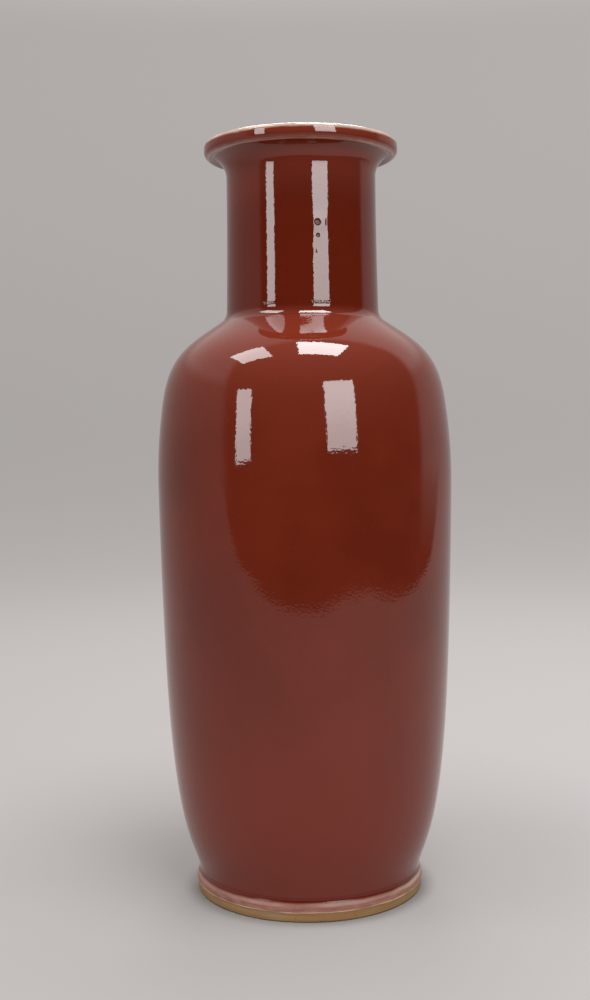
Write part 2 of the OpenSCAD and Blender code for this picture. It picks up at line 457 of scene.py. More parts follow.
    def radius_at(self, height: float) -> float:
        """Gives the widest radius of the section at a height.

        Args:
            height: The height, between the section's ends.

        Returns:
            The radius.
        """
        crossings = [
            a.x + (b.x - a.x) * (height - a.y) / (b.y - a.y)
            for a, b in zip(self.points, self.points[1:])
            if min(a.y, b.y) <= height <= max(a.y, b.y) and a.y != b.y
        ]
        return max(crossings)

    def as_object(self, name: str) -> bpy.types.Object:
        """Makes an object of the section's points, in order, in the XZ plane.

        Args:
            name: The object's name.

        Returns:
            The object, linked to the scene.
        """
        mesh = bpy.data.meshes.new(name)
        mesh.from_pydata([(p.x, 0.0, p.y) for p in self.points], [], [])
        return in_scene(name, mesh)


@dataclass(frozen=True)
class Throw:
    """How a piece comes off the wheel and out of the kiln; each field is an input of the wheel's tree."""

    segments: int = 168
    # Slow ripple of the whole surface, always inwards
    ripple_depth: float = 0.0
    ripple_size: float = 16 * MM
    # A run edge that wanders up and down
    edge_height: float = 0.0
    edge_reach: float = 2.5 * MM
    edge_wander: float = 0.0
    edge_size: float = 9 * MM
    seed: float = 3.0


class Wheel:
    """The potter's wheel: a Geometry Nodes tree that turns a section into a closed piece.

    The tree lays a grid over the section's points and the turn, bends it round the axis, closes the
    seam and the poles, and gives the piece its finish.
    """

    def __init__(self) -> None:
        """Builds the tree with one named input for each field of Throw."""
        self.tree = bpy.data.node_groups.new("wheel", "GeometryNodeTree")
        sockets = self.tree.interface
        sockets.new_socket("Section", in_out="INPUT", socket_type="NodeSocketGeometry")
        for entry in fields(Throw):
            kind = "NodeSocketInt" if entry.type is int else "NodeSocketFloat"
            sockets.new_socket(entry.name, in_out="INPUT", socket_type=kind)
        sockets.new_socket("finish", in_out="INPUT", socket_type="NodeSocketMaterial")
        sockets.new_socket("Piece", in_out="OUTPUT", socket_type="NodeSocketGeometry")
        self.sketch = NodeSketch(self.tree)
        self.inputs = self.sketch.add("NodeGroupInput").outputs
        self.write()

    def write(self) -> None:
        """Writes the tree's nodes from its inputs to its output."""
        ask, sketch = self.inputs, self.sketch
        size = sketch.add("GeometryNodeAttributeDomainSize", {0: ask["Section"]}, component="MESH")
        rows = sketch.math("ADD", ask["segments"], 1.0)
        counts = {"Vertices X": size.outputs["Point Count"], "Vertices Y": rows}
        grid = sketch.add("GeometryNodeMeshGrid", counts)
        index = sketch.add("GeometryNodeInputIndex").outputs[0]
        # Half a step keeps the division clear of rounding
        column = sketch.math("FLOOR", sketch.math("DIVIDE", sketch.math("ADD", index, 0.5), rows))
        row = sketch.math("SUBTRACT", index, sketch.math("MULTIPLY", column, rows))
        turn = sketch.math("DIVIDE", sketch.math("MULTIPLY", row, math.tau), ask["segments"])
        place = sketch.add("GeometryNodeInputPosition").outputs[0]
        taken = {"Geometry": ask["Section"], "Value": place, "Index": column}
        sampled = sketch.add("GeometryNodeSampleIndex", taken, data_type="FLOAT_VECTOR", domain="POINT")
        radius, _, height = sketch.parts(sampled.outputs["Value"])
        around = sketch.joined(sketch.math("COSINE", turn), sketch.math("SINE", turn), 0.0)
        height = self.with_run_edge(around, radius, height)
        bent = sketch.vector("ADD", sketch.scaled(around, radius), sketch.joined(0.0, 0.0, height))
        turned = sketch.add("GeometryNodeSetPosition", {"Geometry": grid.outputs["Mesh"], "Position": bent})
        closed = sketch.add("GeometryNodeMergeByDistance", {"Geometry": turned.outputs[0], "Distance": TOUCH})
        rippled = sketch.add(
            "GeometryNodeSetPosition", {"Geometry": closed.outputs[0], "Offset": self.ripple(place)}
        )
        smoothed = sketch.add("GeometryNodeSetShadeSmooth", {0: rippled.outputs[0]})
        realised = sketch.add("GeometryNodeRealizeInstances", {0: smoothed.outputs[0]})
        dressing = {"Geometry": realised.outputs[0], "Material": ask["finish"]}
        dressed = sketch.add("GeometryNodeSetMaterial", dressing)
        sketch.add("NodeGroupOutput", {0: dressed.outputs[0]})

    def with_run_edge(self, around: Fill, radius: Fill, height: Fill) -> Socket:
        """Lets the edge of a coat wander up and down, less the further from the edge.

        Args:
            around: The direction from the axis.
            radius: The distance from the axis.
            height: The height without the wander.

        Returns:
            The height with it.
        """
        ask, sketch = self.inputs, self.sketch
        away = sketch.math("ABSOLUTE", sketch.math("SUBTRACT", height, ask["edge_height"]))
        ring = sketch.scaled(around, radius)
        wander = sketch.wander(ring, ask["edge_size"], ask["edge_wander"], seed=ask["seed"])
        share = sketch.rise(away, 0.0, ask["edge_reach"], 1.0, 0.0)
        return sketch.math("MULTIPLY_ADD", wander, share, height)

    def ripple(self, place: Fill) -> Socket:
        """Gives the slow inward ripple of the surface.

        Args:
            place: The point on the surface.

        Returns:
            The offset towards the axis.
        """
        ask, sketch = self.inputs, self.sketch
        cloud = sketch.noise(place, ask["ripple_size"], 1.0, ask["seed"])
        depth = sketch.math("MULTIPLY", cloud, sketch.math("MULTIPLY", ask["ripple_depth"], -1.0))
        return sketch.scaled(sketch.outward(place), depth)

    def turn(self, name: str, section: Section, throw: Throw, finish: bpy.types.Material) -> bpy.types.Object:
        """Turns a section into a piece with a plain mesh.

        Args:
            name: The piece's name.
            section: Its section, divided as finely as it needs.
            throw: How it comes off the wheel.
            finish: Its material.

        Returns:
            The piece, at the origin.
        """
        blank = section.as_object(name)
        modifier = blank.modifiers.new("wheel", "NODES")
        modifier.node_group = self.tree
        settings = dict(zip([entry.name for entry in fields(Throw)], astuple(throw)), finish=finish)
        for item in self.tree.interface.items_tree:
            if item.name in settings:
                modifier[item.identifier] = settings[item.name]
        evaluated = blank.evaluated_get(bpy.context.evaluated_depsgraph_get())
        mesh = bpy.data.meshes.new_from_object(evaluated)
        blank.modifiers.remove(modifier)
        outline = blank.data
        blank.data = mesh
        bpy.data.meshes.remove(outline)
        mesh.name = name
        mesh.set_sharp_from_angle(angle=SHARP)
        return blank


@dataclass(frozen=True)
class Pinhole:
    """A burst bubble: a pit in the middle of a low swelling of the glaze."""

    height: float
    azimuth: float
    pit_radius: float
    pit_depth: float
    swell_radius: float
    swell_height: float
    # How many times steeper the pit is than a dip of its own width
    steepness: float = 2.0
    # The least share of a face's normal that points outwards on the outer surface
    facing: float = 0.5
    # The surface is divided this far out, in swell radii
    divided: float = 1.4
    cuts: int = 7
    # An edge that another pinhole has divided down to this length stays as it is
    fine: float = 0.5 * MM

    def centre(self, section: Section) -> Vector:
        """Gives its place on the outside of a piece with this section."""
        return round_axis(section.radius_at(self.height), self.azimuth, self.height)

    def depth(self, distance: float) -> float:
        """Gives how far the surface sinks near the pinhole.

        Args:
            distance: The distance from its centre.

        Returns:
            The depth, below 0 where the surface swells.
        """
        swell = smooth(1 - distance / self.swell_radius)
        pit = smooth(self.steepness * (1 - distance / self.pit_radius))
        return self.pit_depth * pit - self.swell_height * swell

    def sink(self, mesh: bpy.types.Mesh, section: Section) -> None:
        """Divides the mesh round the pinhole and sinks it there.

        Args:
            mesh: The piece's mesh.
            section: The piece's section.
        """
        centre = self.centre(section)
        outward = Vector((centre.x, centre.y, 0.0)).normalized()
        work = bmesh.new()
        work.from_mesh(mesh)

        def near(place: Vector, normal: Vector, reach: float) -> bool:
            """Tells whether a point of the outer surface lies within reach of the pinhole."""
            return (place - centre).length < reach and normal.dot(outward) > self.facing

        wide = self.divided * self.swell_radius
        around = [f for f in work.faces if near(f.calc_center_median(), f.normal, wide)]
        edges = {edge: None for face in around for edge in face.edges if edge.calc_length() > self.fine}
        bmesh.ops.subdivide_edges(work, edges=list(edges), cuts=self.cuts, use_grid_fill=True)
        work.normal_update()
        for vert in work.verts:
            if near(vert.co, vert.normal, self.swell_radius):
                vert.co -= outward * self.depth((vert.co - centre).length)
        work.to_mesh(mesh)
        work.free()


class Finish:
    """A finish that makes its material with nodes."""

    name: str

    def write(self, sketch: NodeSketch, shader: bpy.types.Node) -> None:
        """Writes the nodes that lead to the shader."""
        raise NotImplementedError

    def material(self) -> bpy.types.Material:
        """Makes the finish's material.

        Returns:
            The material.
        """
        material = bpy.data.materials.new(self.name)
        sketch = NodeSketch.of(material)
        shader = sketch.add("ShaderNodeBsdfPrincipled")
        sketch.add("ShaderNodeOutputMaterial", {"Surface": shader.outputs[0]})
        self.write(sketch, shader)
        return material


@dataclass(frozen=True)
class Cloud:
    """A cloudy pattern: its size, finer layers and seed, and the values between which it comes in."""

    size: float
    detail: float
    seed: float
    low: float = 0.3
    high: float = 0.7

    def pattern(self, sketch: NodeSketch, place: Fill) -> Socket:
        """Gives the bare pattern at a point."""
        return sketch.noise(place, self.size, self.detail, self.seed)

    def eased(self, sketch: NodeSketch, pattern: Fill, start: float = 0.0, end: float = 1.0) -> Socket:
        """Eases the bare pattern from start to end."""
        return sketch.rise(pattern, self.low, self.high, start, end)

    def share(self, sketch: NodeSketch, place: Fill, start: float = 0.0, end: float = 1.0) -> Socket:
        """Gives the pattern at a point, eased from start to end."""
        return self.eased(sketch, self.pattern(sketch, place), start, end)


@dataclass(frozen=True)
class Wander:
    """A cloudy wander of a line: how far it goes each way, the size of its clouds and its seed."""

    reach: float
    size: float
    seed: float
    detail: float = 3.0

    def shift(self, sketch: NodeSketch, place: Fill) -> Socket:
        """Gives the wander at a point."""
        return sketch.wander(place, self.size, self.reach, self.detail, self.seed)

    def height(self, sketch: NodeSketch, place: Fill) -> Socket:
        """Gives a point's height with the wander added."""
        return sketch.math("ADD", sketch.parts(place)[2], self.shift(sketch, place))


@dataclass(frozen=True)
class Zone:
    """A stretch of height above and below a line on the vase, which eases off beyond its ends."""

    low: float
    high: float
    ease: float

    def share(self, sketch: NodeSketch, height: Fill, line: float) -> Socket:
        """Gives 1 inside the zone and 0 well beyond it.

        Args:
            sketch: The tree's writer.
            height: The height of the point.
            line: The height of the line.

        Returns:
            The share.
        """
        low, high = past(line, (self.low, self.high))
        onset = sketch.rise(height, low - self.ease, low)
        return sketch.math("MULTIPLY", onset, sketch.rise(height, high, high + self.ease, 1.0, 0.0))


@dataclass(frozen=True)
class Specks:
    """Dots in some cells of a pattern.

    They have the size of the cells, the part of a cell's random colour that chooses it, the values
    between which it is chosen, the distances between which a dot fades out, and its strength.
    """

    size: float
    part: int
    chosen: Span
    fade: Span
    strength: float

    def share(self, sketch: NodeSketch, place: Fill) -> Socket:
        """Gives how much of a dot shows at a point.

        Args:
            sketch: The tree's writer.
            place: The point on the surface.

        Returns:
            The share.
        """
        cells = sketch.add("ShaderNodeTexVoronoi", {"Vector": place, "Scale": 1 / self.size})
        chosen = sketch.rise(sketch.parts(cells.outputs["Color"])[self.part], *self.chosen)
        dot = sketch.rise(cells.outputs["Distance"], *self.fade, self.strength, 0.0)
        return sketch.math("MULTIPLY", chosen, dot)


@dataclass(frozen=True)
class OuterGlaze(Finish):
    """Copper-red glaze that thins to pale at the lip, pools at the waist and runs pink on the foot."""

    name: str
    # The heights of the lines that its colours follow, and the radius of the lip
    waist: float
    foot_edge: float
    neck_line: float
    flare: float
    lip_arris: float
    lip_reach: float
    rim_edge: float
    # The coat is pale inside this radius
    mouth_reach: float = 0.0
    flaws: tuple[tuple[Vector, Pinhole], ...] = ()

    # The red, thin below and on the shoulder, darker on the neck as painted shade, and its pool above the
    # waist
    red: Colour = srgb(105, 35, 18)
    red_deep: Colour = srgb(96, 30, 14)
    low: Colour = srgb(114, 39, 22)
    shoulder: Colour = srgb(102, 36, 21)
    # The neck's darker red is painted shade
    neck: Colour = srgb(92, 25, 7)
    pool: Colour = srgb(98, 22, 6)
    speck: Colour = srgb(138, 76, 60)
    red_clouds: Cloud = Cloud(45 * MM, 4.0, 1.0, 0.35, 0.65)
    body_wander: Wander = Wander(4 * MM, 30 * MM, 3.0)
    low_fade: Span = (40 * MM, 160 * MM)
    shoulder_zone: Zone = Zone(-50 * MM, -4 * MM, 40 * MM)
    neck_shade_onset: Span = (-9 * MM, -4 * MM)
    neck_shade_fade: Span = (-40 * MM, 0.0)
    pool_zone: Zone = Zone(-0.6 * MM, 2.0 * MM, 1.4 * MM)
    specks: Specks = Specks(1.3 * MM, 0, (0.75, 0.95), (0.1, 0.35), 0.2)

    # The band below the red, with a pale ridge along its top, cream on the right, and a pale run edge
    pink: Colour = srgb(133, 80, 68)
    lilac: Colour = srgb(148, 106, 95)
    streak: Colour = srgb(106, 55, 46)
    ridge: Colour = srgb(168, 124, 107)
    cream: Colour = srgb(190, 168, 144)
    edge: Colour = srgb(196, 154, 122)
    band_wander: Wander = Wander(0.3 * MM, 9 * MM, 2.0)
    band_fade: Span = (-1.3 * MM, 0.3 * MM)
    band_clouds: Cloud = Cloud(8 * MM, 4.0, 4.0, 0.35, 0.65)
    streaks: Cloud = Cloud(14 * MM, 3.0, 14.0, 0.55, 0.72)
    # How many times finer the band's clouds and streaks are in height than along it
    cloud_squash: float = 4.0
    streak_squash: float = 16.0
    streak_share: float = 0.75
    ridge_zone: Zone = Zone(-2.0 * MM, -0.9 * MM, 1.2 * MM)
    ridge_clouds: Cloud = Cloud(16 * MM, 3.0, 15.0, 0.3, 0.65)
    ridge_shares: Span = (0.35, 0.95)
    cream_side: Span = (40 * MM, 66 * MM)
    cream_share: float = 0.8
    cream_rise: Span = (-3.2 * MM, -1.4 * MM)
    edge_fade: Span = (0.35 * MM, 0.95 * MM)
    edge_share: float = 0.9

    # The lip: thin red, also lightened on the neck's top as painted light against the lip's shade, a pale
    # lower arris with a faint painted sheen round it, and a pale freckled top
    thin: Colour = srgb(118, 46, 30)
    arris: Colour = srgb(186, 132, 116)
    pale: Colour = srgb(174, 150, 136)
    # Pink flush of the rim, and the colour of the painted sheen round the arris
    flush_and_sheen: Colour = srgb(164, 124, 106)
    lip_wander: Wander = Wander(0.35 * MM, 5 * MM, 6.0)
    # Paler towards the flare, partly thin glaze and partly painted light against the lip's shade
    thin_and_painted_light_rise: Span = (-22 * MM, 0.0)
    thin_and_painted_light_share: float = 0.7
    arris_wander: Wander = Wander(0.12 * MM, 5 * MM, 6.0)
    arris_zone: Zone = Zone(0.2 * MM, 0.45 * MM, 0.3 * MM)
    arris_inset: Span = (-3.6 * MM, -2.8 * MM)
    arris_clouds: Cloud = Cloud(12 * MM, 3.0, 16.0, 0.3, 0.6)
    arris_shares: Span = (0.3, 0.8)
    # A faint painted sheen round the arris, standing in for the pale floor's reflection
    sheen_zone: Zone = Zone(-0.2 * MM, 0.9 * MM, 0.9 * MM)
    sheen_share: float = 0.4
    pale_rise: Span = (0.1 * MM, 1.3 * MM)
    mouth_fade: Span = (-1.6 * MM, 0.0)
    rim_clouds: Cloud = Cloud(9 * MM, 4.0, 24.0, 0.4, 0.7)
    rim_share: float = 0.8
    freckles: Cloud = Cloud(1.6 * MM, 2.0, 25.0, 0.6, 0.75)
    freckle_share: float = 0.45
    cream_inset: Span = (-12 * MM, -6 * MM)
    inner_share: float = 0.9

    # The scorched pinholes, and the pitted line at the neck's root, whose pits take the same dark as painted
    # shade
    scorch_and_pit_shade: Colour = srgb(46, 16, 9)
    bare: Colour = srgb(116, 56, 30)
    # Where the line is pitted: degrees from the front, half the width and how thickly; the first two lie
    # where the upright soft boxes shine on the neck
    pitted: tuple[tuple[float, float, float], ...] = (
        (13.8, 8.5, 1.0), (-25.0, 5.5, 0.6), (-92.0, 20.0, 0.7), (75.0, 14.0, 0.5), (168.0, 24.0, 0.8)
    )
    # The share of the half width over which a patch is pitted in full
    pitted_core: float = 0.7
    line_wander: Wander = Wander(0.3 * MM, 4 * MM, 17.0)
    line_zone: Zone = Zone(-0.6 * MM, 0.6 * MM, 0.4 * MM)
    pits: Cloud = Cloud(1.0 * MM, 1.0, 19.0, 0.45, 0.6)
    pit_depth: float = 0.3 * MM
    # A pinhole's ragged outline, its scorched ring and its bare middle, in shares of its radius
    ragged: Wander = Wander(0.4, 1.2 * MM, 18.0, 2.0)
    ring_fade: Span = (0.8, 1.1)
    bare_fade: Span = (0.25, 0.6)

    # The gloss, its haze, the matt stretch at the waist, and the orange peel
    roughness: float = 0.025
    haze: float = 0.02
    haze_clouds: Cloud = Cloud(9 * MM, 3.0, 5.0)
    band_roughness: float = 0.4
    matt_fade: Span = (-0.6 * MM, 1.2 * MM)
    ring_roughness: float = 0.25
    bare_roughness: float = 0.75
    peel: Cloud = Cloud(1.4 * MM, 0.5, 11.0)
    peel_depth: float = 0.018 * MM

    def write(self, sketch: NodeSketch, shader: bpy.types.Node) -> None:
        """Writes the colour by height, the flaws and the orange-peel surface.

        Args:
            sketch: The tree's writer.
            shader: The shader that they lead to.
        """
        place = sketch.place()
        colour = self.lip_colour(sketch, place, self.body_colour(sketch, place))
        colour = sketch.mix(self.band_share(sketch, place), colour, self.band_colour(sketch, place))
        colour, flawed, relief = self.with_flaws(sketch, place, colour)
        rough = self.haze_clouds.share(sketch, place, self.roughness, self.roughness + self.haze)
        matt_fade = past(self.waist, self.matt_fade)
        matt = sketch.rise(sketch.parts(place)[2], *matt_fade, self.band_roughness, 0.0)
        for other in (matt, flawed):
            rough = sketch.math("MAXIMUM", rough, other)
        bump = sketch.bump(self.peel.pattern(sketch, place), self.peel_depth)
        bump = sketch.bump(relief, self.pit_depth, Normal=bump)
        look = {"Base Color": colour, "Roughness": rough, "IOR": GLAZE_IOR, "Normal": bump}
        sketch.fill_sockets(shader, look)

    def body_colour(self, sketch: NodeSketch, place: Fill) -> Socket:
        """Gives the red of the body, thin below and on the shoulder, darker on the neck as painted shade,
        with fine specks.

        Args:
            sketch: The tree's writer.
            place: The point on the surface.

        Returns:
            The colour.
        """
        colour = sketch.mix(self.red_clouds.share(sketch, place), self.red_deep, self.red)
        height = self.body_wander.height(sketch, place)
        colour = sketch.mix(sketch.rise(height, *self.low_fade, 1.0, 0.0), colour, self.low)
        colour = sketch.mix(self.shoulder_zone.share(sketch, height, self.neck_line), colour, self.shoulder)
        level = sketch.parts(place)[2]
        # The neck is painted darker as shade, fading out towards the flare
        onset = sketch.rise(level, *past(self.neck_line, self.neck_shade_onset))
        fade = sketch.rise(level, *past(self.flare, self.neck_shade_fade), 1.0, 0.0)
        colour = sketch.mix(sketch.math("MULTIPLY", onset, fade), colour, self.neck)
        colour = sketch.mix(self.pool_zone.share(sketch, level, self.waist), colour, self.pool)
        return sketch.mix(self.specks.share(sketch, place), colour, self.speck)

    def band_share(self, sketch: NodeSketch, place: Fill) -> Socket:
        """Gives 1 on the band below the red glaze and 0 above it."""
        height = self.band_wander.height(sketch, place)
        return sketch.rise(height, *past(self.waist, self.band_fade), 1.0, 0.0)

    def band_colour(self, sketch: NodeSketch, place: Fill) -> Socket:
        """Gives the streaked pink of the foot's band, pale along its top and its run edge.

        Args:
            sketch: The tree's writer.
            place: The point on the surface.

        Returns:
            The colour.
        """
        height = self.band_wander.height(sketch, place)
        squashed = sketch.vector("MULTIPLY", place, (1.0, 1.0, self.cloud_squash))
        colour = sketch.mix(self.band_clouds.share(sketch, squashed), self.pink, self.lilac)
        squashed = sketch.vector("MULTIPLY", place, (1.0, 1.0, self.streak_squash))
        colour = sketch.mix(self.streaks.share(sketch, squashed, 0.0, self.streak_share), colour, self.streak)
        ridge = self.ridge_zone.share(sketch, height, self.waist)
        patches = self.ridge_clouds.share(sketch, place, *self.ridge_shares)
        colour = sketch.mix(sketch.math("MULTIPLY", ridge, patches), colour, self.ridge)
        right = sketch.rise(sketch.parts(place)[0], *self.cream_side, 0.0, self.cream_share)
        upper = sketch.rise(height, *past(self.waist, self.cream_rise))
        colour = sketch.mix(sketch.math("MULTIPLY", right, upper), colour, self.cream)
        edge = sketch.rise(height, *past(self.foot_edge, self.edge_fade), self.edge_share, 0.0)
        return sketch.mix(edge, colour, self.edge)

    def lip_colour(self, sketch: NodeSketch, place: Fill, colour: Fill) -> Socket:
        """Thins the red towards the lip, lightening it there also as painted light against the lip's shade,
        paints a faint sheen round its arris, and bares the pale glaze on its arris and along its top.

        Args:
            sketch: The tree's writer.
            place: The point on the surface.
            colour: The colour of the body.

        Returns:
            The colour with the lip's.
        """
        height = self.lip_wander.height(sketch, place)
        radius = sketch.radius(place)
        # Paler towards the flare: thin glaze, and painted light lifting the lip's shade from the neck's top
        thin = sketch.rise(height, *past(self.flare, self.thin_and_painted_light_rise), 0.0, self.thin_and_painted_light_share)
        colour = sketch.mix(thin, colour, self.thin)
        outside = sketch.rise(radius, *past(self.lip_reach, self.arris_inset))
        # Painted sheen of the pale floor's reflection round the arris
        painted_sheen = self.sheen_zone.share(sketch, height, self.lip_arris)
        painted_sheen = sketch.math("MULTIPLY", painted_sheen, sketch.math("MULTIPLY", outside, self.sheen_share))
        colour = sketch.mix(painted_sheen, colour, self.flush_and_sheen)
        arris = self.arris_zone.share(sketch, self.arris_wander.height(sketch, place), self.lip_arris)
        patches = self.arris_clouds.share(sketch, place, *self.arris_shares)
        arris = sketch.math("MULTIPLY", arris, sketch.math("MULTIPLY", outside, patches))
        colour = sketch.mix(arris, colour, self.arris)
        rim = sketch.mix(self.rim_clouds.share(sketch, place, 0.0, self.rim_share), self.pale, self.flush_and_sheen)
        rim = sketch.mix(self.freckles.share(sketch, place, 0.0, self.freckle_share), rim, self.arris)
        creamy = sketch.rise(radius, *past(self.lip_reach, self.cream_inset), self.inner_share, 0.0)
        rim = sketch.mix(creamy, rim, self.cream)
        pale = sketch.rise(height, *past(self.rim_edge, self.pale_rise))
        inside = sketch.rise(radius, *past(self.mouth_reach, self.mouth_fade), 1.0, 0.0)
        return sketch.mix(sketch.math("MAXIMUM", pale, inside), colour, rim)

    def pitting(self, sketch: NodeSketch, place: Fill) -> Fill:
        """Gives how thickly the line at the neck's root is pitted, by the direction from the axis.

        Args:
            sketch: The tree's writer.
            place: The point on the surface.

        Returns:
            The share, from 0 to 1.
        """
        outward = sketch.outward(place)
        thickly = 0.0
        for azimuth, reach, share in self.pitted:
            along = sketch.vector("DOT_PRODUCT", outward, tuple(round_axis(1.0, azimuth, 0.0)), output=1)
            rim, core = (math.cos(math.radians(angle)) for angle in (reach, self.pitted_core * reach))
            thickly = sketch.math("MAXIMUM", thickly, sketch.rise(along, rim, core, 0.0, share))
        return thickly

    def with_flaws(self, sketch: NodeSketch, place: Fill, colour: Fill) -> tuple[Fill, Fill, Fill]:
        """Scorches the pinholes, pits the line at the neck's root and paints shade into its pits.

        Args:
            sketch: The tree's writer.
            place: The point on the surface.
            colour: The colour without flaws.

        Returns:
            The colour with flaws, the roughness of the flaws and the relief of the pits.
        """
        line = self.line_zone.share(sketch, self.line_wander.height(sketch, place), self.neck_line)
        line = sketch.math("MULTIPLY", line, self.pitting(sketch, place))
        pits = self.pits.pattern(sketch, place)
        relief = sketch.math("MULTIPLY", line, pits)
        # The line's pits are darkened as painted shade, breaking the lamps' highlights
        pit_shade = sketch.math("MULTIPLY", line, self.pits.eased(sketch, pits))
        colour = sketch.mix(pit_shade, colour, self.scorch_and_pit_shade)
        ragged = self.ragged.shift(sketch, place)
        rough = 0.0
        for centre, flaw in self.flaws:
            away = sketch.vector("DISTANCE", place, tuple(centre), output=1)
            share = sketch.math("ADD", sketch.math("DIVIDE", away, flaw.pit_radius), ragged)
            ring, bare = (sketch.rise(share, *fade, 1.0, 0.0) for fade in (self.ring_fade, self.bare_fade))
            colour = sketch.mix(bare, sketch.mix(ring, colour, self.scorch_and_pit_shade), self.bare)
            for part, roughness in ((ring, self.ring_roughness), (bare, self.bare_roughness)):
                rough = sketch.math("MAXIMUM", rough, sketch.math("MULTIPLY", part, roughness))
        return colour, rough, relief


@dataclass(frozen=True)
class CreamGlaze(Finish):
    """Clear cream glaze with a fine stained crackle."""

    name: str = "cream_glaze"
    cream: Colour = srgb(212, 200, 178)
    warm: Colour = srgb(198, 180, 150)
    clouds: Cloud = Cloud(30 * MM, 4.0, 8.0)
    # The crackle's cells, how far and how finely their lines stray, and the lines' width and strength
    stain: Colour = srgb(132, 104, 74)
    crackle_size: float = 9 * MM
    stray: float = 3 * MM
    stray_scale: float = 150.0
    line_fade: Span = (0.0, 0.025)
    line_share: float = 0.55
    peel: Cloud = Cloud(2 * MM, 2.0, 12.0)
    peel_depth: float = 0.01 * MM
    haze: Cloud = Cloud(12 * MM, 2.0, 9.0)
    roughness: Span = (0.1, 0.16)

    def write(self, sketch: NodeSketch, shader: bpy.types.Node) -> None:
        """Writes the clouded cream, the crackle and a soft orange-peel surface.

        Args:
            sketch: The tree's writer.
            shader: The shader that they lead to.
        """
        place = sketch.place()
        colour = sketch.mix(self.clouds.share(sketch, place), self.cream, self.warm)
        noise = sketch.add("ShaderNodeTexNoise", {"Vector": place, "Scale": self.stray_scale})
        strayed = sketch.vector("ADD", place, sketch.scaled(noise.outputs["Color"], self.stray))
        fill = {"Vector": strayed, "Scale": 1 / self.crackle_size}
        cells = sketch.add("ShaderNodeTexVoronoi", fill, feature="DISTANCE_TO_EDGE").outputs["Distance"]
        colour = sketch.mix(sketch.rise(cells, *self.line_fade, self.line_share, 0.0), colour, self.stain)
        bump = sketch.bump(self.peel.pattern(sketch, place), self.peel_depth)
        haze = self.haze.share(sketch, place, *self.roughness)
        look = {"Base Color": colour, "Roughness": haze, "IOR": GLAZE_IOR, "Normal": bump}
        sketch.fill_sockets(shader, look)


@dataclass(frozen=True)
class Stoneware(Finish):
    """Bare fired clay with turning lines, grog and iron specks."""

    name: str = "stoneware"
    tan: Colour = srgb(158, 128, 88)
    toast: Colour = srgb(160, 116, 70)
    iron: Colour = srgb(74, 56, 36)
    clouds: Cloud = Cloud(18 * MM, 4.0, 21.0)
    # The turning lines, and how much they are drawn out round the piece
    lines: Cloud = Cloud(0.9 * MM, 2.0, 22.0, 0.3, 0.75)
    line_stretch: tuple[float, float, float] = (0.04, 0.04, 1.0)
    line_share: float = 0.25
    line_relief: float = 2.0
    specks: Specks = Specks(2.2 * MM, 1, (0.82, 0.95), (0.08, 0.26), 0.7)
    # The lowest edge is painted dark outside this radius, as contact shadow
    contact_shade_reach: float = 0.0
    contact_shade_inset: Span = (-1.5 * MM, 0.0)
    contact_shade_fade: Span = (0.3 * MM, 1.2 * MM)
    contact_shade_share: float = 0.8
    grain: Cloud = Cloud(0.5 * MM, 3.0, 23.0, 0.2, 0.8)
    grain_depth: float = 0.03 * MM
    roughness: Span = (0.68, 0.88)

    def write(self, sketch: NodeSketch, shader: bpy.types.Node) -> None:
        """Writes the toasted tan, the specks, the turning lines, the painted contact shadow on the lowest
        edge and the grain.

        Args:
            sketch: The tree's writer.
            shader: The shader that they lead to.
        """
        place = sketch.place()
        colour = sketch.mix(self.clouds.share(sketch, place), self.tan, self.toast)
        drawn = sketch.vector("MULTIPLY", place, self.line_stretch)
        lines = self.lines.pattern(sketch, drawn)
        grooves = self.lines.eased(sketch, lines, self.line_share, 0.0)
        # Painted contact shadow: the lowest edge is darker outside its radius
        contact_shade = sketch.math(
            "MULTIPLY", sketch.rise(sketch.parts(place)[2], *self.contact_shade_fade, self.contact_shade_share, 0.0),
            sketch.rise(sketch.radius(place), *past(self.contact_shade_reach, self.contact_shade_inset)),
        )
        for dark in (grooves, self.specks.share(sketch, place), contact_shade):
            colour = sketch.mix(dark, colour, self.iron)
        grain = self.grain.pattern(sketch, place)
        height = sketch.math("ADD", grain, sketch.math("MULTIPLY", lines, self.line_relief))
        bump = sketch.bump(height, self.grain_depth)
        rough = self.grain.eased(sketch, grain, *self.roughness)
        sketch.fill_sockets(shader, {"Base Color": colour, "Roughness": rough, "Normal": bump})


